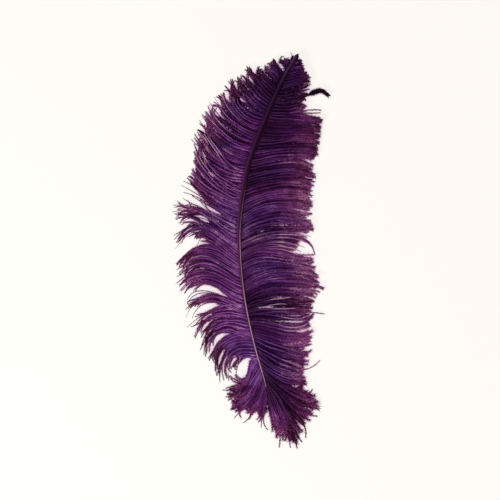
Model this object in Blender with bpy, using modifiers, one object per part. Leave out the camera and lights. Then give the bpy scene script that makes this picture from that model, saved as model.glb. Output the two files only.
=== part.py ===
"""A curved ostrich feather, laid flat: one tapered shaft and the locks of loose barbs on both sides.

Metres, +Z up. The feather rests on the plane z = 0 with its quill end toward +Y and its drooping tip
toward -Y. The vane arches over that plane: it is highest along the shaft and lowest at its rim.
"""

import bmesh
import bpy
import numpy as np

MM = 0.001
GAP = 0.3                      # mm, clear space between the shaft and the locks
WELD_DISTANCE = 0.00001

# The shaft's route from the quill end to the tip: x, y and height of its middle, and its radius, in mm.
SHAFT_ROUTE = [
    (42.0, 177.0, 4.5, 2.70),
    (28.8, 154.0, 6.0, 2.60),
    (16.7, 127.0, 7.8, 2.45),
    (5.4, 100.0, 9.2, 2.30),
    (-3.6, 73.0, 10.1, 2.15),
    (-8.6, 46.0, 10.6, 2.00),
    (-11.0, 19.0, 10.8, 1.80),
    (-10.1, -8.0, 10.6, 1.60),
    (-7.2, -35.0, 9.9, 1.40),
    (-2.4, -62.0, 8.7, 1.15),
    (4.1, -89.0, 7.0, 0.85),
    (13.1, -122.4, 4.6, 0.40),
]
# Past the shaft's end the two tip locks go on along the same line, without the shaft between them.
RIDGE_ROUTE = SHAFT_ROUTE + [(16.5, -150.0, 3.4, 0.0), (20.0, -190.0, 2.6, 0.0)]
SHAFT_STATIONS = 40            # points of the shaft's centre line
TUBE_RESOLUTION = 2            # bevel resolution: 8 sides

ARCH_REACH = 64.0              # mm from the shaft at which the arch has come down to its rim
ARCH_DROP = 0.88               # share of the ridge height lost at the rim
ARCH_POWER = 1.05              # 1 is a straight slope, more is rounder
RIM_THICKNESS = 0.9            # mm, added over the whole vane
FORM_SIZE = (150.0, 376.0)     # mm, the block that the locks are cut from
FORM_CELLS = (20, 48)
FORM_DEPTH = 30.0              # mm
ROOT_STEP = 8.0                # mm between the points of a lock's root edge

# Each lock: the side it grows on, where its roots start and end along the shaft (y), and its rim from the
# quill end to the tip end (x, y), in mm.
LEFT = -1
RIGHT = 1
LOCKS = {
    "barbs_left_1_base": (LEFT, 176.0, 27.0, [
        (37.5, 178.2), (31.0, 172.5), (18.5, 174.0), (4.0, 166.5), (-15.0, 157.5), (-25.0, 146.5),
        (-36.5, 133.0), (-45.5, 113.5), (-52.0, 98.0), (-53.0, 79.0), (-54.0, 68.5), (-60.5, 62.0),
        (-51.0, 56.5), (-44.5, 48.5), (-39.0, 44.5), (-29.0, 38.5)]),
    "barbs_left_2_spiky": (LEFT, 25.5, 5.5, [
        (-29.5, 36.5), (-39.0, 42.5), (-55.5, 40.5), (-61.5, 45.0), (-68.6, 38.5), (-62.5, 31.5),
        (-53.5, 24.5)]),
    "barbs_left_3_arching": (LEFT, 4.0, -9.5, [
        (-53.0, 22.5), (-61.0, 20.5), (-67.0, 11.0), (-60.0, 14.5), (-48.0, 15.0), (-41.0, 10.0)]),
    "barbs_left_4_middle": (LEFT, -11.0, -46.0, [
        (-41.0, 8.0), (-55.5, 1.0), (-64.5, -6.0), (-63.5, -15.0), (-62.5, -23.0), (-63.5, -34.0),
        (-53.0, -36.0), (-42.0, -31.0), (-32.0, -33.0), (-20.5, -41.0)]),
    "barbs_left_5_lower": (LEFT, -47.5, -74.0, [
        (-20.5, -43.0), (-32.0, -40.0), (-44.0, -38.0), (-54.5, -45.0), (-57.0, -53.0), (-47.0, -61.0),
        (-46.5, -75.0), (-43.5, -90.0), (-37.5, -87.5), (-34.5, -78.5), (-24.0, -73.5)]),
    "barbs_left_6_drooping": (LEFT, -75.5, -93.0, [
        (-24.0, -76.0), (-31.5, -84.0), (-36.0, -97.0), (-30.0, -115.0), (-24.5, -109.0),
        (-13.5, -100.0), (-6.0, -95.5)]),
    "barbs_left_7_tip": (LEFT, -95.0, -148.0, [
        (-1.5, -100.0), (-2.5, -110.0), (-8.0, -116.0), (-18.5, -116.5), (-25.0, -126.0), (-24.0, -133.0),
        (-16.0, -136.0), (-15.5, -147.0), (-2.0, -147.5), (6.5, -150.5), (8.5, -159.0), (11.0, -150.0)]),
    "barbs_right_1_base": (RIGHT, 176.0, 124.5, [
        (46.0, 177.5), (46.5, 171.5), (49.0, 161.0), (53.5, 155.5), (51.0, 146.5), (48.0, 137.5),
        (43.5, 127.0)]),
    "barbs_right_2_upper": (RIGHT, 123.0, -5.0, [
        (43.5, 125.0), (61.5, 121.5), (62.5, 106.0), (58.0, 86.5), (55.5, 65.5), (52.5, 46.0),
        (54.5, 28.0), (51.0, 17.0), (49.0, 9.5), (35.5, 7.0)]),
    "barbs_right_3_middle": (RIGHT, -6.5, -62.0, [
        (35.5, -1.0), (56.5, -5.0), (54.5, -19.0), (61.0, -25.0), (58.0, -36.0), (55.5, -47.0),
        (59.0, -56.0), (52.5, -61.5), (34.5, -63.0)]),
    "barbs_right_4_lower": (RIGHT, -63.5, -101.0, [
        (34.5, -65.0), (46.5, -70.5), (54.5, -75.5), (52.5, -89.0), (50.0, -103.5), (43.5, -112.0),
        (50.0, -117.0), (46.5, -122.0), (33.0, -119.5), (20.5, -110.5)]),
    "barbs_right_5_tip": (RIGHT, -102.5, -142.0, [
        (20.5, -113.0), (33.0, -122.5), (54.5, -124.5), (60.0, -130.5), (58.0, -142.0), (52.5, -153.0),
        (46.0, -157.0), (43.5, -163.0), (41.5, -178.2), (33.5, -170.0), (25.5, -165.5), (19.0, -156.0)]),
}

# One barb stands away from the rest near the quill end: x, y, height and radius along it, in mm.
STRAY_ROUTE = [
    (26.0, 137.0, 10.2, 0.55),
    (36.5, 137.5, 9.2, 0.60),
    (48.0, 139.5, 7.4, 0.70),
    (55.5, 144.0, 5.0, 1.20),
    (62.5, 145.0, 3.6, 2.30),
    (68.2, 141.5, 2.6, 0.90),
]
STRAY_STATIONS = 16

SHAFT_COLOUR = (0.055, 0.020, 0.038)
BARB_COLOUR = (0.090, 0.026, 0.120)
SHAFT_ROUGHNESS = 0.35
BARB_ROUGHNESS = 0.6


def clear_scene():
    for item in list(bpy.data.objects):
        bpy.data.objects.remove(item, do_unlink=True)


def new_collection(name):
    collection = bpy.data.collections.new(name)
    bpy.context.scene.collection.children.link(collection)
    return collection


def keratin(name, colour, roughness):
    """A dyed keratin surface: plain colour, not metallic."""
    material = bpy.data.materials.new(name)
    material.use_nodes = True
    surface = material.node_tree.nodes["Principled BSDF"]
    surface.inputs["Base Color"].default_value = (*colour, 1.0)
    surface.inputs["Roughness"].default_value = roughness
    surface.inputs["Metallic"].default_value = 0.0
    return material


def smooth_through(route, y):
    """Values of a route at the places y: cubic Hermite pieces through its points, taken in order of y."""
    table = np.array(sorted(route, key=lambda point: point[1]))
    knots = table[:, 1]
    values = np.delete(table, 1, axis=1)
    slopes = np.gradient(values, knots, axis=0)
    y = np.clip(np.atleast_1d(y), knots[0], knots[-1])
    low = np.clip(np.searchsorted(knots, y) - 1, 0, len(knots) - 2)
    step = (knots[low + 1] - knots[low])[:, None]
    t = (y - knots[low])[:, None] / step
    return ((2 * t**3 - 3 * t**2 + 1) * values[low]
            + (t**3 - 2 * t**2 + t) * step * slopes[low]
            + (3 * t**2 - 2 * t**3) * values[low + 1]
            + (t**3 - t**2) * step * slopes[low + 1])


def tapered_tube(name, points, radii, collection):
    """A round tube along the points, thinning with the radii, both in mm; its ends are capped."""
    curve = bpy.data.curves.new(name, "CURVE")
    curve.dimensions = "3D"
    curve.bevel_depth = MM
    curve.bevel_resolution = TUBE_RESOLUTION
    curve.use_fill_caps = True
    spline = curve.splines.new("POLY")
    spline.points.add(len(points) - 1)
    for point, place, radius in zip(spline.points, points, radii):
        point.co = (*(np.array(place) * MM), 1.0)
        point.radius = radius
    tube = bpy.data.objects.new(name, curve)
    collection.objects.link(tube)
    return tube


def add_shaft(collection):
    """The quill and the shaft are one grown piece, thick at the quill end and thread-thin at the tip."""
    y = np.linspace(SHAFT_ROUTE[0][1], SHAFT_ROUTE[-1][1], SHAFT_STATIONS)
    x, z, radius = smooth_through(RIDGE_ROUTE, y).T
    shaft = tapered_tube("shaft", np.column_stack((x, y, z)), radius, collection)
    shaft.data.materials.append(keratin("shaft_keratin", SHAFT_COLOUR, SHAFT_ROUGHNESS))


def arch_height(x, y):
    """Top of the vane in mm: the ridge height at the shaft, falling off to the rim on both sides."""
    ridge_x, ridge_z, _ = smooth_through(RIDGE_ROUTE, y).T
    away = np.clip(np.abs(x - ridge_x) / ARCH_REACH, 0.0, 1.0)
    return ridge_z * (1.0 - ARCH_DROP * away**ARCH_POWER) + RIM_THICKNESS


def add_vane_form(cutters):
    """The arch of the whole vane: a grid raised to the arch's height and thickened downward."""
    bpy.ops.mesh.primitive_grid_add(x_subdivisions=FORM_CELLS[0], y_subdivisions=FORM_CELLS[1], size=1.0)
    form = bpy.context.object
    form.name = "vane_form"
    vertices = form.data.vertices
    places = np.empty(len(vertices) * 3)
    vertices.foreach_get("co", places)
    places = places.reshape(-1, 3)
    x = places[:, 0] * FORM_SIZE[0]
    y = places[:, 1] * FORM_SIZE[1]
    raised = np.column_stack((x, y, arch_height(x, y))) * MM
    vertices.foreach_set("co", raised.ravel())
    thicken = form.modifiers.new("depth", "SOLIDIFY")
    thicken.thickness = FORM_DEPTH * MM
    thicken.offset = -1.0
    for owner in list(form.users_collection):
        owner.objects.unlink(form)
    cutters.objects.link(form)
    form.hide_render = True
    form.display_type = "WIRE"
    return form


def root_edge(side, start, end):
    """The edge along the shaft, from end back to start, one gap away from the shaft's side."""
    count = max(3, round(abs(start - end) / ROOT_STEP) + 1)
    y = np.linspace(end, start, count)
    middle, _, radius = smooth_through(RIDGE_ROUTE, y).T
    lean = np.gradient(middle, y)
    x = middle + side * (np.clip(radius, 0.0, None) + GAP) * np.sqrt(1.0 + lean**2)
    return list(zip(x, y))


def weld(mesh):
    """Join the loose caps of a converted curve to its sides and turn its faces outward."""
    work = bmesh.new()
    work.from_mesh(mesh)
    bmesh.ops.remove_doubles(work, verts=work.verts, dist=WELD_DISTANCE)
    bmesh.ops.recalc_face_normals(work, faces=work.faces)
    if work.calc_volume(signed=True) < 0.0:
        bmesh.ops.reverse_faces(work, faces=work.faces)
    work.to_mesh(mesh)
    work.free()


def upright_slab(name, outline, collection):
    """A closed outline in mm, filled and drawn up from z = 0 to the form's depth, as a mesh object."""
    curve = bpy.data.curves.new(name + "_outline", "CURVE")
    curve.dimensions = "2D"
    curve.fill_mode = "BOTH"
    curve.extrude = FORM_DEPTH / 2 * MM
    spline = curve.splines.new("POLY")
    spline.points.add(len(outline) - 1)
    for point, (x, y) in zip(spline.points, outline):
        point.co = (x * MM, y * MM, 0.0, 1.0)
    spline.use_cyclic_u = True
    drawn = bpy.data.objects.new(name + "_outline", curve)
    drawn.location.z = curve.extrude
    collection.objects.link(drawn)
    bpy.context.view_layer.update()
    evaluated = drawn.evaluated_get(bpy.context.evaluated_depsgraph_get())
    mesh = bpy.data.meshes.new_from_object(evaluated)
    mesh.name = name
    mesh.transform(drawn.matrix_world)
    bpy.data.objects.remove(drawn)
    weld(mesh)
    slab = bpy.data.objects.new(name, mesh)
    collection.objects.link(slab)
    return slab


def add_lock(name, side, start, end, rim, form, collection):
    """One lock of barbs: its outline is cut from the arch of the vane, flat where it rests."""
    lock = upright_slab(name, rim + root_edge(side, start, end), collection)
    cut = lock.modifiers.new("arch", "BOOLEAN")
    cut.operation = "INTERSECT"
    cut.object = form
    lock.data.materials.clear()
    lock.data.materials.append(keratin(name + "_keratin", BARB_COLOUR, BARB_ROUGHNESS))


def add_stray_barb(collection):
    """The barb that stands away from the others, with its brush-like end."""
    sideways = [(y, x, z, radius) for x, y, z, radius in STRAY_ROUTE]
    x = np.linspace(STRAY_ROUTE[0][0], STRAY_ROUTE[-1][0], STRAY_STATIONS)
    y, z, radius = smooth_through(sideways, x).T
    stray = tapered_tube("stray_barb", np.column_stack((x, y, z)), radius, collection)
    stray.data.materials.append(keratin("stray_barb_keratin", BARB_COLOUR, BARB_ROUGHNESS))


def build():
    clear_scene()
    feather = new_collection("ostrich_feather")
    cutters = new_collection("cutters")
    add_shaft(feather)
    form = add_vane_form(cutters)
    for name, (side, start, end, rim) in LOCKS.items():
        add_lock(name, side, start, end, rim, form, feather)
    add_stray_barb(feather)


build()
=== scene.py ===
"""A curved, dyed ostrich feather lying on a pale surface, seen from straight above."""

import bpy
import numpy as np
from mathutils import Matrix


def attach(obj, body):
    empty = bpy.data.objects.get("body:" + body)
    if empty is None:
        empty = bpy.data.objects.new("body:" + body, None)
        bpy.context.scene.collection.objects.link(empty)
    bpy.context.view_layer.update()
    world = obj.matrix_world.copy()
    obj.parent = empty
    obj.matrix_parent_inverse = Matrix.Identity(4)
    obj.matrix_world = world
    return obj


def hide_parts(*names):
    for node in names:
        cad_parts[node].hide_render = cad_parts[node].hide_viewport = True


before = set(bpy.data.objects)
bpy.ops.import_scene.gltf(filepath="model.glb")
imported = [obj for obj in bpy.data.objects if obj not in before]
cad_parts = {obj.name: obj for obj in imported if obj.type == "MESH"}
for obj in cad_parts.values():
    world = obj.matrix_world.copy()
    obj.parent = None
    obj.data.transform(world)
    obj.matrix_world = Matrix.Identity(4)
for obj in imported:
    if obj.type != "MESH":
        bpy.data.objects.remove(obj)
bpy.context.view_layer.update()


# --- Shaft ---
# The quill and the shaft are one grown tube of keratin, 5 mm thick at the quill end and as thin as a thread
# at the tip. It is filled with pith, bows to the left, and carries all the barbs along its two sides.

MM = 0.001
# x, y and height of the shaft's middle, and its radius, in mm, from the quill end to the tip.
SHAFT_ROUTE = np.array([
    (42.0, 177.0, 4.5, 2.70),
    (28.8, 154.0, 6.0, 2.60),
    (16.7, 127.0, 7.8, 2.45),
    (5.4, 100.0, 9.2, 2.30),
    (-3.6, 73.0, 10.1, 2.15),
    (-8.6, 46.0, 10.6, 2.00),
    (-11.0, 19.0, 10.8, 1.80),
    (-10.1, -8.0, 10.6, 1.60),
    (-7.2, -35.0, 9.9, 1.40),
    (-2.4, -62.0, 8.7, 1.15),
    (4.1, -89.0, 7.0, 0.85),
    (13.1, -122.4, 4.6, 0.40),
    (16.5, -150.0, 3.4, 0.0),
])
SHAFT_END_Y = -122.4
SHAFT_RINGS = 150
SHAFT_SIDES = 20
# Width over that of the solid core, at two places y in mm: the barbs' roots cover its sides near the quill
# end, and thicken them further down.
SHAFT_SPREAD = ((60.0, 1.15), (140.0, 0.85))
SHAFT_FLATNESS = 0.85  # height over the core's width
LINE_PLACE = 0.35  # of the radius, to the right of the middle, at y = 0
LINE_TURN = 0.0065  # more for each mm toward the quill: the shaft is turned a little about itself
LINE_WIDTH = 0.5  # mm
LINE_PART = (75.0, 20.0)  # y in mm where the painted highlight line starts, and where it is at full strength
REDDER_PART = (170.0, 20.0)  # y in mm where the shaft starts to be redder, and where it is reddest
QUILL_ROUNDING = 2.5  # mm over which the quill's end is rounded


def smooth_through(table, at):
    """Rows of a table read at new places of its first column, by cubic Hermite pieces.

    A piece between two rows p and q, a step h apart, with slopes m and n, at share t of the way is
    (2t^3 - 3t^2 + 1) p + (t^3 - 2t^2 + t) h m + (3t^2 - 2t^3) q + (t^3 - t^2) h n.
    """
    table = table[np.argsort(table[:, 0])]
    knots, values = table[:, 0], table[:, 1:]
    slopes = np.gradient(values, knots, axis=0)
    at = np.clip(np.atleast_1d(at), knots[0], knots[-1])
    low = np.clip(np.searchsorted(knots, at) - 1, 0, len(knots) - 2)
    step = (knots[low + 1] - knots[low])[:, None]
    t = (at - knots[low])[:, None] / step
    return ((2 * t**3 - 3 * t**2 + 1) * values[low] + (t**3 - 2 * t**2 + t) * step * slopes[low]
            + (3 * t**2 - 2 * t**3) * values[low + 1] + (t**3 - t**2) * step * slopes[low + 1])


def shaft_at(y):
    """Middle of the shaft (x, y, z) and its radius at the places y, in mm."""
    x, z, radius = smooth_through(SHAFT_ROUTE[:, [1, 0, 2, 3]], y).T
    return np.column_stack((x, np.atleast_1d(y), z)), np.clip(radius, 0.0, None)


def unit(vectors):
    """Vectors scaled to length 1: each is divided by its own length."""
    return vectors / np.maximum(np.linalg.norm(vectors, axis=-1, keepdims=True), 1e-9)


def new_piece(name, places, quads, triangles, **point_values):
    """A mesh object from arrays in mm: smooth quads first, then flat triangles, and values of each point."""
    mesh = bpy.data.meshes.new(name)
    corners = np.concatenate((quads.ravel(), triangles.ravel())).astype(np.int32)
    sizes = np.concatenate((np.full(len(quads), 4), np.full(len(triangles), 3))).astype(np.int32)
    mesh.vertices.add(len(places))
    mesh.vertices.foreach_set("co", (places * MM).astype(np.float32).ravel())
    mesh.loops.add(len(corners))
    mesh.loops.foreach_set("vertex_index", corners)
    mesh.polygons.add(len(sizes))
    mesh.polygons.foreach_set("loop_start", (np.cumsum(sizes) - sizes).astype(np.int32))
    mesh.update(calc_edges=True)
    mesh.polygons.foreach_set("use_smooth", sizes == 4)
    for key, values in point_values.items():
        mesh.attributes.new(key, "FLOAT", "POINT").data.foreach_set("value", values.astype(np.float32))
    mesh.validate()
    piece = bpy.data.objects.new(name, mesh)
    bpy.context.scene.collection.objects.link(piece)
    return piece


def shaft_mesh():
    """An oval ring (spread cos a, flatness sin a) times the radius, carried along the route, and closed with
    a pole at each end. Each point knows how far it lies from the line of the painted highlight, in mm, and
    how far to the right it lies, from 0 to 1, which sets the painted light and shade of the two sides."""
    y = np.linspace(SHAFT_ROUTE[0, 1], SHAFT_END_Y, SHAFT_RINGS)
    middle, radius = shaft_at(y)
    rounding = np.minimum(1.0, np.sqrt(np.clip((SHAFT_ROUTE[0, 1] + 0.02 - y) / QUILL_ROUNDING, 0.03, 1.0)))
    radius = radius * rounding
    ahead = unit(np.gradient(middle, axis=0))
    side = unit(np.cross(ahead, (0.0, 0.0, 1.0)))
    up = np.cross(side, ahead)
    angle = np.linspace(0.0, 2 * np.pi, SHAFT_SIDES, endpoint=False)
    spread = np.interp(y, *zip(*SHAFT_SPREAD))
    across = np.outer(spread * radius, np.cos(angle))
    above = SHAFT_FLATNESS * np.outer(radius, np.sin(angle))
    rings = middle[:, None] + across[..., None] * -side[:, None] + above[..., None] * up[:, None]
    places = np.concatenate((rings.reshape(-1, 3), middle[[0, -1]]))
    ring, around = np.meshgrid(np.arange(SHAFT_RINGS - 1), np.arange(SHAFT_SIDES), indexing="ij")
    onward = (around + 1) % SHAFT_SIDES
    quads = np.stack((ring * SHAFT_SIDES + around, ring * SHAFT_SIDES + onward,
                      (ring + 1) * SHAFT_SIDES + onward, (ring + 1) * SHAFT_SIDES + around), -1)
    first = np.arange(SHAFT_SIDES)
    after = (first + 1) % SHAFT_SIDES
    poles = SHAFT_RINGS * SHAFT_SIDES
    last = (SHAFT_RINGS - 1) * SHAFT_SIDES
    near = np.column_stack((np.full(SHAFT_SIDES, poles), after, first))
    far = np.column_stack((np.full(SHAFT_SIDES, poles + 1), last + first, last + after))
    # The painted highlight runs along this line, on the shaft's top.
    line = (LINE_PLACE + LINE_TURN * y) * radius
    from_line = np.append(np.abs(across - line[:, None]), (1.0, 1.0))
    rightward = np.append(np.tile(0.5 + 0.5 * np.cos(angle), SHAFT_RINGS), (0.5, 0.5))
    return new_piece("shaft_of_keratin", places, quads.reshape(-1, 4), np.concatenate((near, far)),
                     from_line=from_line, rightward=rightward)


def linear(hex_colour):
    """An sRGB hex colour as linear RGBA: a part v becomes v / 12.92 up to 0.04045, and
    ((v + 0.055) / 1.055)^2.4 above that."""
    parts = np.array([int(hex_colour[i:i + 2], 16) for i in (1, 3, 5)]) / 255.0
    return (*np.where(parts <= 0.04045, parts / 12.92, ((parts + 0.055) / 1.055) ** 2.4), 1.0)


def add_node(tree, kind, output, settings=None, links=None, stops=(), **values):
    """Adds a node with its attributes, its inputs' plain values, links to it from other nodes' outputs and,
    for a colour ramp, its stops as (place, hex colour). Gives its output of that name."""
    node = tree.nodes.new("ShaderNode" + kind)
    for key, value in (settings or {}).items():
        setattr(node, key, value)
    for key, value in values.items():
        node.inputs[key.replace("_", " ")].default_value = value
    for key, source in (links or {}).items():
        tree.links.new(source, node.inputs[key])
    if stops:
        elements = node.color_ramp.elements
        while len(elements) < len(stops):
            elements.new(1.0)
        for element, (place, colour) in zip(elements, stops):
            element.position = place
            element.color = linear(colour)
    return node.outputs[output]


def surface_material(name, **values):
    """A new material, its node tree and its Principled BSDF, whose inputs get the plain values."""
    material = bpy.data.materials.new(name)
    material.use_nodes = True
    surface = material.node_tree.nodes["Principled BSDF"]
    for key, value in values.items():
        surface.inputs[key.replace("_", " ")].default_value = value
    return material, material.node_tree, surface


KERATIN = {"IOR": 1.55, "Specular_Tint": linear("#D8B8DC")}


def dyed_keratin_shaft():
    """Solid keratin, dyed: satin like horn, dark, with a thin paler line along its back and fine grain.

    The paler line is a painted highlight along its top. It starts about a third of the way down and runs to
    the tip. The left side is coloured lighter and the right one darker, as painted light and shade, and
    toward the tip the shaft is redder.
    """
    material, tree, surface = surface_material("dyed_keratin_shaft", Roughness=0.45, Specular_IOR_Level=0.05,
                                               **KERATIN)
    places = add_node(tree, "TexCoord", "Object")
    along = add_node(tree, "SeparateXYZ", "Y", links={"Vector": places})
    lower = add_node(tree, "MapRange", "Result", links={"Value": along},
                     From_Min=LINE_PART[0] * MM, From_Max=LINE_PART[1] * MM)
    # Painted highlight: a thin pale line along the top, from about a third of the way down to the tip.
    from_line = add_node(tree, "Attribute", "Fac", {"attribute_name": "from_line"})
    painted_highlight = add_node(tree, "MapRange", "Result", links={"Value": from_line},
                    From_Min=LINE_WIDTH * 0.8, From_Max=LINE_WIDTH * 0.35)
    share = add_node(tree, "Math", "Value", {"operation": "MULTIPLY"}, {0: painted_highlight, 1: lower})
    down = add_node(tree, "MapRange", "Result", links={"Value": along},
                    From_Min=REDDER_PART[0] * MM, From_Max=REDDER_PART[1] * MM)
    # Painted light and shade: the left side is coloured lighter than the right one.
    left, right, line = [
        add_node(tree, "ValToRGB", "Color", links={"Fac": factor}, stops=stops)
        for factor, stops in (
            (down, [(0.0, "#583A62"), (0.15, "#361C3C"), (0.4, "#3A1F3E"), (1.0, "#4C2246")]),
            (down, [(0.0, "#2C1032"), (0.15, "#1E0620"), (0.5, "#240A22"), (1.0, "#38142E")]),
            (lower, [(0.0, "#30102E"), (1.0, "#C096B4")]))]
    rightward = add_node(tree, "Attribute", "Fac", {"attribute_name": "rightward"})
    painted_side_shade = add_node(tree, "MapRange", "Result", links={"Value": rightward}, From_Min=0.1, From_Max=0.6)
    body = add_node(tree, "Mix", "Result", {"data_type": "RGBA"},
                    {"Factor": painted_side_shade, "A": left, "B": right})
    colour = add_node(tree, "Mix", "Result", {"data_type": "RGBA"}, {"Factor": share, "A": body, "B": line})
    tree.links.new(colour, surface.inputs["Base Color"])
    # 9 grains to 10 mm: as coarse as they have to be to show.
    grain = add_node(tree, "TexNoise", "Fac", links={"Vector": places}, Scale=9 / (10 * MM), Detail=3.0)
    bump = add_node(tree, "Bump", "Normal", links={"Height": grain}, Strength=0.15, Distance=0.0002)
    tree.links.new(bump, surface.inputs["Normal"])
    return material


shaft = shaft_mesh()
shaft.data.materials.append(dyed_keratin_shaft())
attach(shaft, "root")
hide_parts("shaft")


# --- Left base lock ---
# The barbs nearest the quill on the left. A barb is a flat thread of keratin with a fringe of soft barbules
# on both edges; it grows from the shaft's side, and here the outer ends sweep up toward the quill.

LEFT, RIGHT = -1, 1
# A WAY is the two shares of the way along a barb between which something happens.
PIXEL = 0.9  # mm to a pixel of the photograph
PHOTO_MIDDLE = (251.5, 251.0)  # the pixel of the photograph at x = 0, y = 0
BARB_STEP = 0.9  # mm between roots along the shaft
ROOT_JITTER = 0.3  # of a step that a root lies off its even place
ROOT_PLACES = {LEFT: 0.75, RIGHT: 0.45}  # of the shaft's radius, from its middle out to the roots
ROOT_HEIGHT = 0.35  # of the same radius, up to the roots
STRETCHES = (0.8, 1.12)  # the shortest and the longest that a barb gets, against its guides
DRIFT = (1.1, 9)  # mm that neighbours drift sideways together, and barbs from one turn to the next
# Finer waves of the barbs: mm sideways, barbs from one turn to the next, and half waves along a barb.
WAVES = ((0.5, 5, 1), (0.35, 3.5, 2), (0.28, 3.5, 4))
FRIZZ = (0.22, 17.0)  # mm and radians of each barb's own finest waves
SLIP = (1.5, 2.6)  # mm that a free barb has slipped sideways, in an arch of so many radians
TUFT_BARBS = (6, 12)  # the barbs to a tuft
TUFT_WAY = (0.45, 1.0)  # the barbs of a tuft draw together
PARTING_REACH = 3.0  # mm along the shaft over which a parting dies down
PARTING_EDGE = 0.07  # the share of the way over which it begins, and ends
CURL_START = 0.72  # the share of the way where a barb's end starts to curl
CURL = (2.6, 1.6)  # mm that the end is curled sideways, and back
LOOSE_WAVE = (0.7, 8.0)  # mm and radians that a loose barb waves sideways
RISE_WAVE = (0.4, 11.0)  # and that each barb waves up and down
RIDGE_BARBS = (2.6, 3.9)  # the barbs to a ridge: they lie in ridges and furrows about 3 mm apart
RIDGE_HEIGHT = 0.6  # mm that a ridge stands above the middle, and a furrow lies below it
RIDGE_PAINTED_LIGHT = 1.75  # painted light: how much lighter a ridge is coloured
FURROW_PAINTED_SHADE = 0.65  # painted shade: and how much darker a furrow is coloured
RIDGE_FADE = 0.35  # how much less of both there is at the barbs' ends
RIDGE_CLOSE = 0.6  # how much closer the barbules lie along a barb on a ridge
CLOSE_WAY = (0.5, 0.85)  # the barbules on a ridge come free of the barb
RIDGE_WIDTH = 1.2  # how much wider a barbule is, times how much closer it lies
RIDGE_SHORT = 0.5  # and how much shorter, times the same
PAIRING = 0.42  # how far the barbs of a ridge have drawn together, from 0 to 1
PAIRED_WAY = (0.02, 0.3)  # the barbs of a ridge draw together
FREE_SHARE = 0.16  # of the barbs have slipped out of their ridge and lie across the others
BARB_POINTS = 20  # places along a barb's thread
THREAD_RADIUS = 0.28  # mm at the root; real threads are about half of that, too thin to show here
STOUTNESS = (0.7, 0.75, 0.6)  # of that for any thread, more on a ridge, and more if it is bare
THINNING = (0.75, 0.4)  # of its own radius lost by the end of a thread, and of a bare one
ROOF_WIDTH = 22.0  # mm out from the shaft over which the barbs come down most of their height
RIM_HEIGHT = 1.2  # mm above the surface, for the lowest barbs at the rim
LAYER_HEIGHT = 2.0  # mm from the lowest barbs of a lock to the highest
BARE_LIFT = 1.4  # of that, for how much higher a bare one lies
THREAD_CLEARANCE = 0.55  # mm that a thread stays above the surface
BARBULE_CLEARANCE = 0.1  # and that a barbule does
BARBULE_STEP = 0.4  # mm between barbules on one edge; real ones are about ten times as close
BARBULE_LENGTH = 3.9  # mm
BARBULE_SPAN = (0.7, 1.15)  # of that length, from the shortest to the longest
BARE_LENGTH = 0.25  # of it, for the ones on the bare share of a thread
BARE_EDGE = 0.12  # the share of the way over which they get longer again
BARBULE_WIDTH = 0.5  # mm, as coarse as it takes to stand for the real number
BARBULE_THICKNESS = 0.125  # mm
UNDERSIDE_WIDTH = 2.0  # times as wide are the barbules matted on the underside
MATTED_WAY = (0.65, 0.9)  # the matting ends
DROOP = -16.0  # degrees that a barbule hangs below its barb
DROOP_RANGE = 12.0  # degrees by which that usually differs
SPREAD_RANGE = 11.0  # degrees by which its angle to the barb usually differs
TAPER_LEAN = 0.9  # how much of the taper the angle gets
LONG_BARB = 11.0  # mm; a shorter barb has barbules that are shorter too
SHORTEST_FLUFF = 0.4  # of their length, at least
CRIMP_STEP = 2.6  # mm from one lighter bunch of barbules to the next along a barb
CRIMP_LIGHT = 0.35  # how much lighter or darker those are
UNDERSIDE_PAINTED_SHADE = 0.6  # painted shade: how much darker the matted barbules below a ridge are coloured
THREAD_PAINTED_HIGHLIGHT = (0.08, 0.9)  # painted highlight: how pale a thread is coloured along its top in a furrow, and how much more on a ridge
THREAD_HIGHLIGHT_UNEVEN = 0.08  # by which that usually differs
THREAD_HIGHLIGHT_FADE = 0.6  # how much of it is gone at the barbs' ends
THREAD_HIGHLIGHT_WAY = (0.35, 0.8)  # the painted highlight grows less
BARB_UNEVEN = 0.15  # how unevenly the dye took from one barb to the next
BUNCH_UNEVEN = (0.07, 2.5)  # and from one bunch of so many barbs to the next
RIM_WAY = (0.1, 0.85)  # the dye turns into the rim's
DYE_DEEPEST = 0.01  # as dark as a barb gets
CALM_PART = (52.0, 84.0)  # y in mm: above it the left vane beside the shaft has less painted light and shade
CALM_SHARE = 0.85  # how much of the ridges' painted light and shade, and of the threads' painted highlight, is missing there
CALM_WAY = (0.2, 0.5)  # the painted light and shade come back
LOOSE_LOSS = 0.5  # share of its barbules' length that a loose barb has lost
BARE_LOSS = 0.72  # share that a bare one has lost; it is coloured pale as well, as a painted highlight
BARE_WAY = (0.38, 0.65)  # a bare one turns pale, as a painted highlight
# How much light the barbs let back, from 0, nearly black, to 1, pale mauve: their dye, with painted shade
# beside the shaft on the right and painted light beside it on the left. Each row is y in mm, then the left
# vane beside the shaft and at its rim, and the right vane beside the shaft and at its rim.
DYE_AND_PAINTED_LIGHT = np.array([
    (178.0, 0.38, 0.24, 0.17, 0.15), (154.0, 0.15, 0.20, 0.12, 0.13),
    (136.0, 0.18, 0.22, 0.13, 0.18), (113.0, 0.33, 0.29, 0.11, 0.26),
    (100.0, 0.36, 0.32, 0.10, 0.29), (85.0, 0.40, 0.33, 0.18, 0.32),
    (62.0, 0.43, 0.32, 0.10, 0.36), (46.0, 0.46, 0.31, 0.28, 0.40),
    (0.0, 0.48, 0.34, 0.30, 0.46), (-34.0, 0.50, 0.35, 0.24, 0.48),
    (-50.0, 0.54, 0.29, 0.10, 0.43), (-66.0, 0.56, 0.23, 0.19, 0.45),
    (-85.0, 0.56, 0.21, 0.16, 0.45), (-112.0, 0.40, 0.22, 0.10, 0.24),
    (-128.0, 0.21, 0.21, 0.09, 0.18), (-170.0, 0.18, 0.20, 0.11, 0.18),
])
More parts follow.
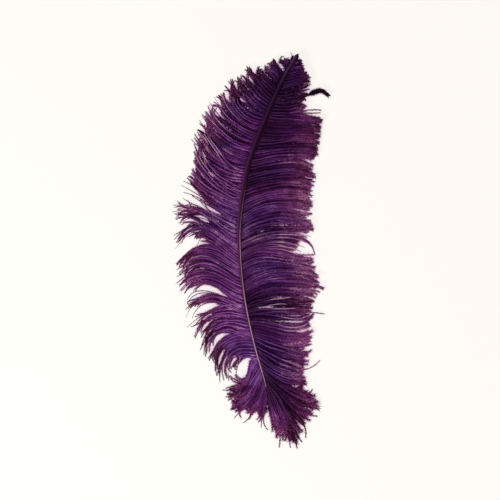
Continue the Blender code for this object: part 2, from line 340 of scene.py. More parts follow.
# Places where the barbs are coloured darker, above 0, or lighter, below 0: x and y in pixels of the
# photograph, half the width, half the height, and by what share.
TONE_PATCHES = [
    (295, 69, 13, 11, -0.6), (197, 211, 12, 6, 0.35), (236, 232, 10, 9, 0.25), (204, 280, 14, 7, -0.5),
    (195, 264, 14, 12, 0.15), (206, 297, 11, 4, -1.4), (247, 90, 15, 7, 0.6), (267, 103, 8, 8, -0.6),
    (238, 116, 24, 12, -0.5), (305, 128, 12, 10, -0.15), (212, 118, 10, 12, -1.7), (248, 135, 14, 16, -0.5),
    (303, 113, 12, 8, -1.2), (212, 170, 15, 12, -2.5), (224, 214, 8, 12, 0.3), (220, 143, 14, 10, 0.6),
    (213, 202, 9, 7, 0.3), (308, 178, 5, 12, -0.4), (274, 184, 15, 6, 0.4), (266, 229, 24, 9, 0.6),
    (263, 202, 14, 8, 0.2), (297, 240, 11, 10, -3.0), (308, 229, 9, 8, -1.5), (258, 250, 8, 4, -0.2),
    (280, 266, 26, 9, 0.5), (242, 309, 8, 14, 0.45), (256, 290, 9, 5, -0.3), (284, 303, 24, 11, 0.6),
    (294, 370, 12, 9, 0.45), (303, 334, 13, 18, -3.0), (313, 316, 6, 6, -0.4), (243, 347, 10, 9, -2.6),
    (227, 345, 9, 6, -0.5), (259, 388, 9, 12, 0.5), (268, 381, 10, 8, 0.35), (239, 394, 8, 13, -0.5),
    (253, 406, 12, 6, -0.3), (255, 392, 9, 10, 0.2), (262, 397, 8, 6, 0.2), (270, 414, 8, 8, -0.6),
    (279, 425, 8, 12, -0.3), (310, 408, 9, 9, -0.6), (277, 422, 7, 14, -0.7), (292, 406, 16, 15, 0.25),
]
DYE_FADED = 0.85  # as pale as a barb gets that still has its barbules
ROOT_PAINTED_SHADE = 0.45  # painted shade: how much darker the barbs are coloured where they grow from the shaft
ROOT_PAINTED_SHADE_ENDS = (0.8, 3.8)  # mm out along a barb


def from_photo(rows):
    """Guides in mm from guides in pixels of the photograph, each (root y, x1, y1, x2, y2, x3, y3): the
    distance from the photograph's middle, times the size of a pixel, with y turned to point up."""
    rows = np.array(rows, float).reshape(-1, 7)
    rows[:, 1::2] = (rows[:, 1::2] - PHOTO_MIDDLE[0]) * PIXEL
    rows[:, 0::2] = (PHOTO_MIDDLE[1] - rows[:, 0::2]) * PIXEL
    return rows


def through_four(points, share):
    """The cubic through four points that are a third apart, at the shares of the way: each point times the
    cubic that is 1 at its own share, which is 0, 1/3, 2/3 or 1, and 0 at the other three."""
    a, b, c, d = points
    v = share[..., None]
    return (-4.5 * (v - 1 / 3) * (v - 2 / 3) * (v - 1) * a + 13.5 * v * (v - 2 / 3) * (v - 1) * b
            - 13.5 * v * (v - 1 / 3) * (v - 1) * c + 4.5 * v * (v - 1 / 3) * (v - 2 / 3) * d)


def groups_of(count, smallest, largest, rng):
    """Splits a row of count barbs into neighbouring groups of random size: the group of each barb."""
    sizes = rng.integers(smallest, largest + 1, count)
    return np.searchsorted(np.cumsum(sizes), np.arange(count), side="right")


def gather(courses, groups, pull):
    """Draws each barb toward the mean course of its group: course + pull (mean - course), with a pull for
    each share of the way."""
    total = np.zeros((groups.max() + 1, *courses.shape[1:]))
    np.add.at(total, groups, courses)
    mean = total / np.maximum(np.bincount(groups), 1)[:, None, None]
    return courses + (mean[groups] - courses) * pull[..., None]


def drifting(count, every, rng):
    """A random value for each barb that changes slowly along the row: lines between knots so many apart."""
    knots = rng.normal(0.0, 1.0, int(count / every) + 3)
    return np.interp(np.arange(count) / every, np.arange(len(knots)), knots)[:, None]


def smoothstep(low, high, value):
    """A smooth step from 0 at low to 1 at high: 3t^2 - 2t^3, at share t of the way between them."""
    t = np.clip((value - low) / (high - low), 0.0, 1.0)
    return t * t * (3.0 - 2.0 * t)


def sideways(flat):
    """Unit vectors square to flat courses, to the left of their way: a way (x, y) gives (-y, x)."""
    return unit(np.gradient(flat, axis=1))[..., ::-1] * (-1.0, 1.0)


def flat_courses(side, places, root_y, share):
    """Courses seen from above: from the shaft's side at each root y, through three more places each."""
    middle, radius = shaft_at(np.clip(root_y, SHAFT_END_Y, None))
    outward = side * radius * ROOT_PLACES[side]
    root = middle[:, :2] + np.column_stack((outward, root_y - middle[:, 1]))
    return through_four([p[:, None] for p in (root, *np.moveaxis(places.reshape(-1, 3, 2), 1, 0))], share)


def barb_courses(side, guides, rng, step=BARB_STEP, curl=1.0, tuft=0.25, ragged=0.05, sway=1.0, reach=1.0,
                 partings=(), strands=(), bare=()):
    """Courses of the barbs of a lock, (barb, place, xyz) in mm, the share of the way of each place, the root
    of each barb, its place on a ridge, from -1 in a furrow to 1 on top, and the fluff that it has lost.

    Each guide is (root y, x1, y1, x2, y2, x3, y3): a barb from the shaft through three places, the last of
    them its tip. The barbs between two guides are blended from them, then vary in length, drift together,
    gather in ridges and tufts, curl at the end, and come down from the shaft's height to the surface. Each
    parting is (root y, opening, first share, last share), and moves the barbs away on both its sides. Each
    strand is a guide of its own, for one loose barb, and the bare ones are strands too. A distance d from
    its root a barb keeps e^(-d / ROOF_WIDTH) of the shaft's height, and has the rest of the rim's.
    """
    top, bottom = guides[:, 0].max(), guides[:, 0].min()
    count = max(3, int(round((top - bottom) / step)))
    root_y = np.linspace(top, bottom, count) + rng.uniform(-ROOT_JITTER, ROOT_JITTER, count) * step
    stretch = reach * np.clip(rng.normal(1.0, ragged, count), *STRETCHES)
    travel = np.repeat(np.linspace(0.0, 1.0, BARB_POINTS)[None], count, 0)
    flat = flat_courses(side, smooth_through(guides, root_y), root_y, travel * stretch[:, None])

    drift = DRIFT[0] * sway * drifting(count, DRIFT[1], rng) * travel**1.5
    for size, every, waves in WAVES:
        drift = drift + size * drifting(count, every, rng) * np.sin(waves * np.pi * travel)
    frizz = FRIZZ[0] * np.sin(FRIZZ[1] * travel + rng.uniform(0.0, 2 * np.pi, (count, 1))) * travel
    slipped = (rng.uniform(0.0, 1.0, (count, 1)) < FREE_SHARE) * rng.normal(0.0, SLIP[0], (count, 1))
    flat = flat + sideways(flat) * (drift + frizz + slipped * np.sin(SLIP[1] * travel))[..., None]
    beat = np.cumsum(1.0 / rng.uniform(*RIDGE_BARBS, count))
    ridge = np.where(slipped[:, 0] == 0.0, -np.cos(2 * np.pi * beat), 1.0)
    flat = gather(flat, np.floor(beat).astype(int), PAIRING * smoothstep(*PAIRED_WAY, travel))
    flat = gather(flat, groups_of(count, *TUFT_BARBS, rng), tuft * smoothstep(*TUFT_WAY, travel))
    for place, opening, start, end in partings:
        away = np.where(root_y > place, side, -side)[:, None]
        near = np.exp(-np.abs(root_y - place) / PARTING_REACH)[:, None]
        begun, ended = [smoothstep(at - PARTING_EDGE, at + PARTING_EDGE, travel) for at in (start, end)]
        flat = flat + sideways(flat) * (away * near * (begun - ended) * opening / 2)[..., None]
    turn = rng.normal(0.0, 1.0, (count, 1)) * curl
    last = np.clip((travel - CURL_START) / (1.0 - CURL_START), 0.0, 1.0)
    onward = unit(np.gradient(flat, axis=1))
    flat = (flat + sideways(flat) * (turn * CURL[0] * last**2)[..., None]
            - onward * (np.abs(turn) * CURL[1] * last**3)[..., None])

    loss = np.repeat((0.0, LOOSE_LOSS, BARE_LOSS), (count, len(strands), len(bare)))
    strands = np.concatenate((strands, bare))
    if len(strands):
        travel = np.repeat(travel[:1], len(loss), 0)
        hanging = flat_courses(side, strands[:, 1:], strands[:, 0], travel[count:])
        wave = LOOSE_WAVE[0] * np.sin(
            LOOSE_WAVE[1] * travel[count:] + rng.uniform(0.0, 2 * np.pi, (len(strands), 1)))
        hanging = hanging + sideways(hanging) * (wave * travel[count:])[..., None]
        flat = np.concatenate((flat, hanging))
        root_y = np.append(root_y, strands[:, 0])
        ridge = np.append(ridge, loss[count:] == BARE_LOSS)
    layer = rng.uniform(0.0, 1.0, (len(loss), 1)) + BARE_LIFT * (loss == BARE_LOSS)[:, None]
    middle, radius = shaft_at(np.clip(root_y, SHAFT_END_Y, None))
    height = middle[:, 2:] + radius[:, None] * ROOT_HEIGHT
    slope = np.exp(-np.linalg.norm(flat - flat[:, :1], axis=2) / ROOF_WIDTH)
    rise = height * slope + (RIM_HEIGHT + LAYER_HEIGHT * layer) * (1.0 - slope)
    rise = rise + RIDGE_HEIGHT * ridge[:, None] * smoothstep(0.0, 0.1, travel)
    phase = rng.uniform(0.0, 2 * np.pi, (len(loss), 1))
    rise = rise + RISE_WAVE[0] * np.sin(RISE_WAVE[1] * travel + phase) * travel
    rise = np.clip(rise, THREAD_CLEARANCE, None)
    return np.concatenate((flat, rise[..., None]), -1), travel, root_y, ridge, loss


def calm_of(side, travel, root_y):
    """How much of the ridges' painted light and shade, and of the threads' painted highlight, is missing at
    each place of each barb: some in the left vane toward the quill, nothing anywhere else."""
    if side == RIGHT:
        return np.zeros(travel.shape)
    return CALM_SHARE * smoothstep(*CALM_PART, root_y)[:, None] * (1.0 - smoothstep(*CALM_WAY, travel))


def dye_and_painted_light_of(side, courses, travel, root_y, ridge, calm, rng):
    """Dye depth at each place of each barb, with painted light and shade: read by root y, from the shaft's
    value to the rim's, with painted shade at the very root, changed by the patches, with painted light on the
    ridges and painted shade in the furrows, and a little different from barb to barb. A patch multiplies it
    by 1 - share e^(-u^2 - v^2), at u half widths and v half heights from its middle."""
    first = 0 if side == LEFT else 2
    inner, outer = smooth_through(DYE_AND_PAINTED_LIGHT, root_y)[:, first:first + 2].T
    count = len(root_y)
    apart = BARB_UNEVEN * rng.normal(0.0, 1.0, (count, 1))
    apart = apart + BUNCH_UNEVEN[0] * drifting(count, BUNCH_UNEVEN[1], rng)
    own = inner[:, None] + (outer - inner)[:, None] * smoothstep(*RIM_WAY, travel)
    away = np.linalg.norm(courses - courses[:, :1], axis=2)
    # Painted shade at the roots, where the barbs grow from the shaft.
    own = own * (1.0 - ROOT_PAINTED_SHADE * (1.0 - smoothstep(*ROOT_PAINTED_SHADE_ENDS, away)))
    for x, y, wide, high, darkening in TONE_PATCHES:
        centre = np.array((x - PHOTO_MIDDLE[0], PHOTO_MIDDLE[1] - y)) * PIXEL
        steps = (courses[..., :2] - centre) / (wide * PIXEL, high * PIXEL)
        own = own * (1.0 - darkening * np.exp(-(steps**2).sum(2)))
    # Painted light on the ridges and painted shade in the furrows.
    light = (np.where(ridge > 0.0, RIDGE_PAINTED_LIGHT, FURROW_PAINTED_SHADE) * ridge)[:, None] * (1.0 - RIDGE_FADE * travel)
    return np.clip(own * (1.0 + apart) * (1.0 + light * (1.0 - calm)), DYE_DEEPEST, DYE_FADED)


def grow_barbs(name, courses, travel, ridge, loss, calm, dye, rng, step=BARBULE_STEP, fluff=1.0, bare=0.0,
               spread=46.0, taper=0.6):
    """One piece of closed threads and barbules along the courses.

    A thread is a tapering three-sided tube, closed at both ends. At share v of the way its radius is
    THREAD_RADIUS times its stoutness times (1 - thinning v). A barbule is a closed sliver of four faces: a
    small triangle on the thread, and a point one length away from it, leaning on toward the tip at the
    spread angle. Barbules are short up to the bare share of the way. Toward the end they lose taper v^3 of
    their length, and TAPER_LEAN times that of their angle. On a ridge the threads are thicker and the
    barbules short and close.
    """
    count, places_each = courses.shape[:2]
    crest = np.clip(ridge, 0.0, 1.0)
    ahead = unit(np.gradient(courses, axis=1))
    side = unit(np.cross(ahead, (0.0, 0.0, 1.0)))
    up = np.cross(side, ahead)
    stout = STOUTNESS[0] + STOUTNESS[1] * crest + STOUTNESS[2] * (loss == BARE_LOSS)
    thinning = np.where(loss < BARE_LOSS, *THINNING)[:, None]
    radius = THREAD_RADIUS * stout[:, None] * (1.0 - thinning * travel)
    angle = np.pi / 2 + np.arange(3) * 2 * np.pi / 3
    threads = (courses[:, :, None] + radius[..., None, None]
               * (np.cos(angle)[:, None] * side[:, :, None] + np.sin(angle)[:, None] * up[:, :, None]))
    barb, ring, around = np.meshgrid(np.arange(count), np.arange(places_each - 1), np.arange(3),
                                     indexing="ij")
    base = (barb * places_each + ring) * 3
    onward = (around + 1) % 3
    quads = np.stack((base + around, base + 3 + around, base + 3 + onward, base + onward), -1).reshape(-1, 4)
    first = np.arange(count)[:, None] * places_each * 3
    caps = np.concatenate((first + (0, 1, 2), first + (places_each - 1) * 3 + (0, 2, 1)))

    length = np.linalg.norm(np.diff(courses, axis=1), axis=2).sum(1)
    per_barb = np.maximum(4, (length / step).astype(int)) * 2
    owner = np.repeat(np.arange(count), per_barb)
    total = len(owner)
    order = np.arange(total) - np.repeat(np.cumsum(per_barb) - per_barb, per_barb)
    share = (order // 2 + rng.uniform(0.0, 1.0, total)) / (per_barb[owner] / 2)
    hand = np.where(order % 2 == 0, 1.0, -1.0)[:, None]
    place = np.clip(share, 0.0, 0.9999) * (places_each - 1)
    low = place.astype(int)
    blend = (place - low)[:, None]
    foot = courses[owner, low] * (1 - blend) + courses[owner, low + 1] * blend
    fore = unit(ahead[owner, low] * (1 - blend) + ahead[owner, low + 1] * blend)
    flank = unit(np.cross(fore, (0.0, 0.0, 1.0)))
    lift = np.cross(flank, fore)
    droop = rng.normal(DROOP, DROOP_RANGE, total)
    tilt = np.radians(droop)[:, None]
    under = (droop < DROOP) & (loss[owner] == 0.0)
    close = RIDGE_CLOSE * crest[owner] * ~under * (1.0 - smoothstep(*CLOSE_WAY, share))
    open_angle = rng.normal(spread, SPREAD_RANGE, total) * (1.0 - close)
    open_angle = np.radians(open_angle - TAPER_LEAN * taper * spread * share**3)[:, None]
    aim = unit(np.cos(open_angle) * fore
               + np.sin(open_angle) * (hand * np.cos(tilt) * flank + np.sin(tilt) * lift))
    own_fluff = fluff * np.clip(length / LONG_BARB, SHORTEST_FLUFF, 1.0) * (1.0 - loss)
    reach = (BARBULE_LENGTH * own_fluff[owner] * rng.uniform(*BARBULE_SPAN, total)
             * (BARE_LENGTH + (1.0 - BARE_LENGTH) * smoothstep(bare - BARE_EDGE, bare, share))
             * (1.0 - taper * share**3) * (1.0 - RIDGE_SHORT * close))[:, None]
    flat = unit(np.cross(aim, (0.0, 0.0, 1.0)))
    over = np.cross(flat, aim)
    matted = (UNDERSIDE_WIDTH - 1.0) * under * (1.0 - smoothstep(*MATTED_WAY, share))
    half = (BARBULE_WIDTH / 2 * (1.0 + matted + RIDGE_WIDTH * close))[:, None]
    slivers = np.stack((foot - half * flat, foot + half * flat, foot + BARBULE_THICKNESS * over,
                        foot + reach * aim), 1)
    slivers[..., 2] = np.clip(slivers[..., 2], BARBULE_CLEARANCE, None)
    start = count * places_each * 3 + np.arange(total)[:, None] * 4
    triangles = np.concatenate([start + corner for corner in ((0, 1, 2), (0, 3, 1), (1, 3, 2), (2, 3, 0))])

    places = np.concatenate((threads.reshape(-1, 3), slivers.reshape(-1, 3)))
    own_dye_and_shade = dye[owner, low] * (1 - blend[:, 0]) + dye[owner, low + 1] * blend[:, 0]
    # Painted shade on the matted barbules below a ridge.
    own_dye_and_shade = own_dye_and_shade * (1.0 - UNDERSIDE_PAINTED_SHADE * under * crest[owner])
    bunch = np.sin(2 * np.pi * share * length[owner] / CRIMP_STEP + rng.uniform(0.0, 2 * np.pi, count)[owner])
    own_dye_and_shade = np.clip(own_dye_and_shade * (1.0 + CRIMP_LIGHT * bunch), DYE_DEEPEST, np.maximum(own_dye_and_shade, DYE_FADED))
    dyes_and_painted_light = np.concatenate((np.repeat(dye.ravel(), 3), np.repeat(own_dye_and_shade, 4)))
    shares = np.concatenate((np.repeat(travel.ravel(), 3), np.repeat(share, 4)))
    # Painted highlight along the tops of the threads, strongest on the ridges; the thread attribute carries
    # it.
    thread_painted_highlight = THREAD_PAINTED_HIGHLIGHT[0] + THREAD_PAINTED_HIGHLIGHT[1] * crest**2 + rng.normal(0.0, THREAD_HIGHLIGHT_UNEVEN, count)
    thread_painted_highlight = np.clip(thread_painted_highlight, 0.0, 1.0)[:, None]
    thread_painted_highlight = thread_painted_highlight * (1.0 - THREAD_HIGHLIGHT_FADE * smoothstep(*THREAD_HIGHLIGHT_WAY, travel) * (loss < BARE_LOSS)[:, None])
    thread_painted_highlight = thread_painted_highlight * (1.0 - calm)
    thread = np.concatenate((np.repeat(thread_painted_highlight.ravel(), 3), np.zeros(total * 4)))
    return new_piece(name, places, quads, np.concatenate((caps, triangles)), dye=dyes_and_painted_light, share=shares,
                     thread=thread)


def dyed_barbs():
    """Dyed keratin fibres: soft, hardly glossy; violet near the shaft, reddish at the thin ends, and with a
    painted mauve highlight along the threads, strongest on the ridges. The light of the surface below shines
    through where they lie thin, and there they look magenta.

    The dye took unevenly: in patches of 8 mm, in bands that run along the barbs, 7 to 100 mm, and in wider
    ones where the violet turns toward blue, about 4 to 100 mm.
    """
    material, tree, surface = surface_material("dyed_barbs", Roughness=0.5, Specular_IOR_Level=0.13,
                                               **KERATIN)
    depth, share, thread = [add_node(tree, "Attribute", "Fac", {"attribute_name": name})
                            for name in ("dye", "share", "thread")]
    places = add_node(tree, "TexCoord", "Object")
    patches = add_node(tree, "TexNoise", "Fac", links={"Vector": places}, Scale=1 / (8 * MM), Detail=2.0)
    uneven = add_node(tree, "MapRange", "Result", links={"Value": patches},
                      From_Min=0.3, From_Max=0.7, To_Min=0.82, To_Max=1.18)
    drawn = add_node(tree, "Mapping", "Vector", links={"Vector": places}, Scale=(0.35, 1.0, 1.0))
    bands = add_node(tree, "TexNoise", "Fac", links={"Vector": drawn}, Scale=7 / (100 * MM), Detail=1.0)
    banded = add_node(tree, "MapRange", "Result", links={"Value": bands},
                      From_Min=0.3, From_Max=0.7, To_Min=0.75, To_Max=1.25)
    taken = add_node(tree, "Math", "Value", {"operation": "MULTIPLY"}, {0: uneven, 1: banded})
    dye = add_node(tree, "Math", "Value", {"operation": "MULTIPLY"}, {0: depth, 1: taken})
    violet, ends, thread_highlight_colours, shine = [
        add_node(tree, "ValToRGB", "Color", links={"Fac": dye}, stops=stops) for stops in (
            [(0.0, "#12021A"), (0.31, "#421352"), (0.62, "#6E2682"), (0.9, "#9A54AE"), (1.0, "#C080B8")],
            [(0.0, "#180412"), (0.31, "#56204C"), (0.62, "#8A3E80"), (0.9, "#B06AA6"), (1.0, "#D8A0BC")],
            [(0.0, "#3E2242"), (0.15, "#663A6E"), (0.31, "#844A90"), (0.62, "#A062B4"), (0.9, "#C48ECE"),
             (1.0, "#F0CCDE")],
            [(0.0, "#A83888"), (0.31, "#E070B8"), (1.0, "#F0A8E8")])]
    near_tip = add_node(tree, "MapRange", "Result", links={"Value": share}, From_Min=0.48, From_Max=0.9)
    fringe = add_node(tree, "Mix", "Result", {"data_type": "RGBA"},
                      {"Factor": near_tip, "A": violet, "B": ends})
    # The thread attribute mixes in the painted highlight along the threads.
    colour = add_node(tree, "Mix", "Result", {"data_type": "RGBA"},
                      {"Factor": thread, "A": fringe, "B": thread_highlight_colours})
    bluer = add_node(tree, "TexNoise", "Fac", links={"Vector": drawn}, Scale=3.8 / (100 * MM), Detail=1.0)
    turned = add_node(tree, "MapRange", "Result", links={"Value": bluer},
                      From_Min=0.42, From_Max=0.65, To_Min=0.5, To_Max=0.46)
    hue = add_node(tree, "HueSaturation", "Color", links={"Color": colour, "Hue": turned})
    tree.links.new(hue, surface.inputs["Base Color"])
    glow = add_node(tree, "BsdfTranslucent", "BSDF", links={"Color": shine})
    fibre = add_node(tree, "MixShader", "Shader", links={1: surface.outputs["BSDF"], 2: glow}, Fac=0.4)
    tree.links.new(fibre, tree.nodes["Material Output"].inputs["Surface"])
    return material


BARB_MATERIAL = dyed_barbs()


def add_lock(node, side, guides, seed, part="", fluff=1.0, taper=0.6, partings=(), strands=(), bare=(),
             **course_values):
    """Grows one lock, or a part of it, from its guides and lets it stand for its CAD node.

    The guides, the strands and the partings' roots are in pixels of the photograph, the openings in mm.
    """
    rng = np.random.default_rng(seed)
    partings = [((PHOTO_MIDDLE[1] - place) * PIXEL, *rest) for place, *rest in partings]
    courses, travel, root_y, ridge, loss = barb_courses(
        side, from_photo(guides), rng, partings=partings, strands=from_photo(strands), bare=from_photo(bare),
        **course_values)
    calm = calm_of(side, travel, root_y)
    dye = dye_and_painted_light_of(side, courses, travel, root_y, np.where(loss == 0.0, ridge, 0.0), calm, rng)
    # Painted highlight: bare strands are coloured pale toward their ends.
    painted_highlight = (loss == BARE_LOSS)[:, None] * smoothstep(*BARE_WAY, travel)
    dye = dye + (1.0 - dye) * painted_highlight
    lock = grow_barbs(node + "_lock" + part, courses, travel, ridge, loss, calm, dye, rng, fluff=fluff,
                      taper=taper)
    lock.data.materials.append(BARB_MATERIAL)
    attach(lock, "root")
    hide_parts(node)


LEFT_BASE_UPPER = [
    (59.5, 295.5, 58.5, 293.5, 57.5, 292, 57.5), (64, 290, 62.5, 288, 61.5, 286.5, 61),
    (70, 286, 68, 283, 64, 280.5, 61), (75, 281, 70, 276.5, 64.5, 273.5, 59.5),
    (84, 276, 79, 270, 73, 264.5, 67), (91, 269.5, 85, 262, 77, 256, 67),
    (98, 264, 90, 256, 80, 247, 67), (110, 257, 102, 247, 91, 236, 76.5),
    (122, 246.5, 116, 234, 102, 227, 84), (130, 243, 124, 229, 111, 219, 93),
    (138, 240, 131, 223.5, 119, 211, 102), (150, 234, 144, 217.5, 132, 205, 112),
]
LEFT_BASE_LOWER = [
    (150.9, 233.5, 145, 217, 133, 205.5, 114), (165, 226.5, 159, 211, 144, 202, 123.5),
    (175, 224, 169, 206, 156, 198.5, 136), (187, 221, 182, 204, 170, 196.5, 150),
    (199, 221, 193, 204, 182, 194, 163), (207, 222, 201, 203.5, 190, 190.5, 172),
    (215, 225, 210, 207, 199, 187.5, 182), (223, 228, 217.5, 215, 207.5, 199.5, 193),
]

add_lock("barbs_left_1_base", LEFT, LEFT_BASE_UPPER, 11, "_upper", step=0.84, tuft=0.15, reach=0.97,
         partings=[(73, 5, 0.1, 1.2), (88, 3, 0.85, 1.2), (94, 4, 0.85, 1.2), (100, 3, 0.88, 1.2),
                   (106, 5, 0.88, 1.2), (115, 4, 0.88, 1.2), (126, 5, 0.85, 1.2),
                   (138, 8, 0.78, 0.96), (116.5, 5.5, 0.5, 0.62)],
         strands=[(141, 240, 134, 223.5, 121, 210, 103)],
         bare=[(129, 243.5, 122.5, 230, 110, 222, 95), (134, 241.5, 127.5, 226, 115, 214, 98),
               (142, 238, 136.5, 221, 124, 208.5, 105.5), (147, 235.5, 141.5, 218.5, 129, 206, 112)])
add_lock("barbs_left_1_base", LEFT, LEFT_BASE_LOWER, 18, "_lower", step=0.862, tuft=0.2, reach=0.97,
         partings=[(158, 5, 0.85, 1.2), (167, 2, 0.7, 0.85), (176, 4, 0.65, 0.85),
                   (184, 5, 0.44, 0.54), (193, 4.5, 0.65, 0.85)],
         strands=[(172, 226, 167, 206, 154, 192, 139), (213, 223, 206, 203, 193, 184, 181),
                  (217, 225, 211, 206, 199, 181, 186), (220, 226, 214, 205, 202, 184, 192),
                  (222, 226, 216, 208, 205, 192, 196), (223, 227, 218, 212, 207, 200, 200),
                  (152, 233.5, 145, 217, 134, 203, 117), (156, 231, 150, 214, 137, 200, 120)],
         bare=[(203, 223, 196, 203, 183, 193, 169), (188, 227, 181, 213, 170, 203, 155),
               (197, 224, 189, 207, 174, 196, 155), (194, 225, 186, 210, 172, 200, 156),
               (200, 223, 192, 205, 178, 194, 162), (191, 226, 184, 212, 173, 204, 160),
               (176, 227, 167, 216, 152, 205, 134), (172, 229, 163, 219, 152, 209, 137)])


# --- Left spiky lock ---
# Just above the middle of the left vane a lock of barbs has parted from the ones above it. Its ends stick
# together in a few points like a wetted brush, and the topmost one turns up.

LEFT_SPIKY = [
    (223.5, 228, 220, 211, 212, 188, 209), (230, 225, 225, 202, 213, 178, 209),
    (236, 222, 228.5, 200, 215, 174.5, 212), (241, 222, 231.5, 202, 220, 179, 216.5),
    (248, 221, 237, 204, 226.5, 186, 222.5),
]

add_lock("barbs_left_2_spiky", LEFT, LEFT_SPIKY, 12, step=0.71, tuft=0.35, curl=1.3, ragged=0.08, fluff=0.7,
         partings=[(226.5, 4, 0.8, 1.2), (233, 4, 0.8, 1.2), (240, 6.5, 0.54, 0.72)],
         strands=[(228, 226, 223, 201, 209, 184, 198), (234, 224, 227, 202, 214, 174, 214),
                  (230, 225, 225, 203, 209, 183, 207), (238, 223, 230, 203, 219, 179, 224),
                  (227, 226, 223, 211, 212.5, 205, 198), (226, 226, 222.5, 210, 211.5, 201, 200)])


# --- Left arching lock ---
# Below the spiky lock a few barbs arch out and down, with bright gaps between their ends. The lowest ones
# have lost their outer halves.

LEFT_ARCHING = [
    (245, 221, 233, 198, 225, 178.5, 236), (252, 221, 238.5, 200, 228.5, 179, 240.5),
    (256, 222, 243.5, 205, 233.5, 190, 236.5), (264, 223, 250.5, 212, 242, 202, 240.5),
]

add_lock("barbs_left_3_arching", LEFT, LEFT_ARCHING, 13, step=0.7, tuft=0.5, curl=0.7, fluff=0.75,
         partings=[(249.5, 3, 0.7, 1.2)],
         strands=[(250, 221, 239, 202, 228.5, 177, 243), (255, 221, 241, 203, 229, 176, 249),
                  (259, 222, 246, 208, 234, 195, 249)])


# --- Left middle lock ---
# The widest lock of the left vane. Its barbs leave the shaft upward, arch over and end pointing down, and
# darken as they go.

LEFT_MIDDLE = [
    (260, 222, 248.5, 203, 245, 180.5, 259), (272, 220, 260, 199, 252.5, 180, 266),
    (281, 220, 269, 200, 263, 180.5, 276), (291, 221, 280, 202, 275.5, 182, 289),
    (302.5, 230, 295.5, 213, 285.5, 189.5, 290),
]

add_lock("barbs_left_4_middle", LEFT, LEFT_MIDDLE, 14, step=0.86,
         strands=[(285, 221, 274, 200, 270, 177.5, 277)],
         bare=[(273, 221, 262.5, 203, 256, 186, 265), (281, 221, 269, 205, 263, 190, 268)])


# --- Left lower lock ---
# The barbs here part in two: the upper ones arch out far and hang, the lower ones stay close together, and a
# hole is left between them.

LEFT_LOWER_ARCH = [
    (303, 231, 301.5, 212, 295.5, 188, 304.5), (306.5, 231, 303, 211, 297.5, 188, 310),
    (312, 231, 307, 214, 301.5, 196, 307),
]
LEFT_LOWER = [
    (308, 231, 304, 214, 307.5, 194, 319), (318, 232, 315, 211, 317, 198, 334),
    (326, 232, 322.5, 214, 326, 202, 346), (336, 236, 334.5, 222, 332.5, 209, 350),
]

add_lock("barbs_left_5_lower", LEFT, LEFT_LOWER_ARCH, 19, "_upper", step=0.5, tuft=0.4, fluff=0.85,
         strands=[(306, 231, 301, 207, 294, 186, 317), (304, 231, 300, 206, 293, 187, 303),
                  (303, 231, 299.5, 205, 291, 187, 299.5)])
add_lock("barbs_left_5_lower", LEFT, LEFT_LOWER, 15, "_lower", ragged=0.08,
         partings=[(314, 4, 0.7, 1.2), (320, 4.5, 0.7, 1.2), (326, 4.5, 0.7, 1.2), (331, 4, 0.7, 1.2)],
         strands=[(312, 232, 309, 211, 311, 187, 327), (311, 231, 306, 209, 302, 193, 318)])


# --- Left drooping lock ---
# The last lock before the tip droops. Its ends hang apart, as a fringe, over the gap above the tip.

LEFT_DROOPING = [
    (331.5, 237, 331.5, 220, 340, 211.5, 357), (341, 240, 340.5, 223, 349, 215, 375),
    (348, 242, 347.5, 228, 355, 220.5, 377), (356, 247.5, 355.5, 240, 358, 234, 364),
]

add_lock("barbs_left_6_drooping", LEFT, LEFT_DROOPING, 16, tuft=0.35, ragged=0.1, reach=0.98,
         partings=[(337, 4, 0.65, 1.2), (343, 5, 0.6, 1.2), (348, 5, 0.6, 1.2), (352, 5, 0.6, 1.2)],
         strands=[(356, 248, 356.5, 240, 362, 235.5, 382), (352, 245, 351, 233, 358.5, 228, 380)])


# --- Left tip lock ---
# A dense, frizzy tuft left of the shaft's end. Its barbs run almost along the shaft, curl at the ends, and
# leave a large bright gap above them.

LEFT_TIP = [
    (357, 250.5, 364, 247.5, 376, 231, 383.5), (363, 251.5, 374, 245, 385, 228.5, 391),
    (369, 254, 384, 245, 395.5, 229.5, 399), (375, 256, 389, 247, 401, 235.5, 410),
    (380, 259, 395, 253, 405, 244, 412), (385, 262, 398, 258.5, 407, 254, 414),
    (389, 267, 399, 266, 406, 262.5, 413),
]

add_lock("barbs_left_7_tip", LEFT, LEFT_TIP, 17, step=0.42, curl=1.8, ragged=0.08, sway=1.2, taper=0.45,
         partings=[(379, 8, 0.75, 1.0), (384, 8, 0.78, 1.0), (387.5, 5, 0.75, 1.2)],
         strands=[(383, 260, 398, 254, 412, 243, 422), (389, 266, 402, 264, 417, 267.5, 430),
                  (388, 265, 401, 262, 413, 261, 427), (378, 258, 392, 247, 405, 235, 418)])


# --- Right base lock ---
# Short, nearly black barbs beside the quill, each ending in a point of its own, so the rim is a row of
# spikes.

RIGHT_BASE = [
    (60, 298, 60, 299.5, 60, 301, 60.5), (65, 296.5, 64.5, 300, 64, 303, 65),
    (73, 294, 72.5, 299.5, 71, 305, 72), (86, 290, 84.5, 300, 81.5, 309.5, 79),
    (96, 287, 94.5, 298, 92, 308.5, 91), (105, 284, 104, 296, 102.5, 306.5, 100),
    (115.5, 282, 115.5, 293, 114.5, 303, 111),
]

add_lock("barbs_right_1_base", RIGHT, RIGHT_BASE, 21, curl=0.6, sway=0.6, tuft=0.15)


# --- Right upper lock ---
# The long straight vane right of the shaft, in two pieces. Its barbs rise a little, arch over, and end in an
# even rim. Below it a bright notch is left, with one hooked barb across it.

